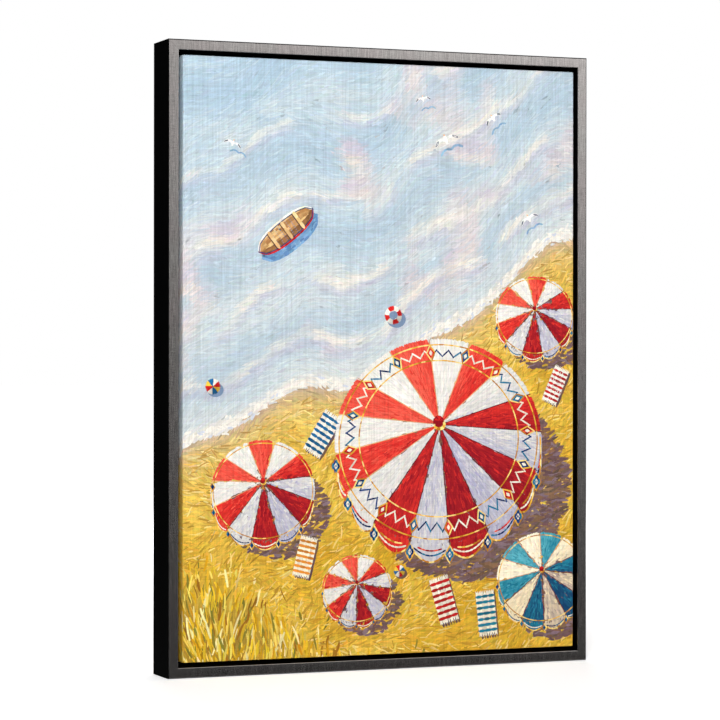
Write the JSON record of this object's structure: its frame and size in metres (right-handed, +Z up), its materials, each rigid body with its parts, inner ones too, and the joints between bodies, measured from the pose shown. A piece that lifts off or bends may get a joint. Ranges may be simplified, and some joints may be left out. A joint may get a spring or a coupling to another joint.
{
  "type": "framed canvas print",
  "caption": "Canvas print stretched on deep wooden bars and set in a black floater frame with a brushed graphite face, hung by a saw-tooth plate.",
  "frame": {"origin": "middle of the hanger's wall side, on the centre line of the picture, in the wall's plane", "axes": "+Z up along the picture's height, +Y from the picture to the wall, +X to the right seen from the front"},
  "size_m": [0.536, 0.06, 0.736],
  "materials": {
    "frame_black": "matte black painted wood",
    "frame_face": "brushed graphite foil",
    "frame_back": "raw sawn wood",
    "canvas_print": "matte printed canvas with a fine weave",
    "canvas_raw": "unprinted back of the canvas",
    "stretcher_wood": "planed pine",
    "key_wood": "sawn beech",
    "screw_steel": "zinc plated",
    "hanger_steel": "pressed plated steel",
    "staple_steel": "galvanised wire",
    "bumper_rubber": "soft translucent rubber"
  },
  "bodies": {
    "root": {"frame_left": "frame_black", "frame_right": "frame_black", "frame_top": "frame_black", "frame_bottom": "frame_black", "canvas": "canvas_print", "stretcher_left": "stretcher_wood", "stretcher_right": "stretcher_wood", "stretcher_top": "stretcher_wood", "stretcher_bottom": "stretcher_wood", "cross_brace": "stretcher_wood", "corner_key_top_left_level": "key_wood", "corner_key_top_left_upright": "key_wood", "corner_key_top_right_level": "key_wood", "corner_key_top_right_upright": "key_wood", "corner_key_bottom_left_level": "key_wood", "corner_key_bottom_left_upright": "key_wood", "corner_key_bottom_right_level": "key_wood", "corner_key_bottom_right_upright": "key_wood", "fixing_screw_left_upper": "screw_steel", "fixing_screw_left_lower": "screw_steel", "fixing_screw_right_upper": "screw_steel", "fixing_screw_right_lower": "screw_steel", "fixing_screw_top_left": "screw_steel", "fixing_screw_top_right": "screw_steel", "fixing_screw_bottom_left": "screw_steel", "fixing_screw_bottom_right": "screw_steel", "hanger": "hanger_steel", "hanger_screw_left": "screw_steel", "hanger_screw_right": "screw_steel", "bumper_left": "bumper_rubber", "bumper_right": "bumper_rubber"}
  },
  "joints": []
}
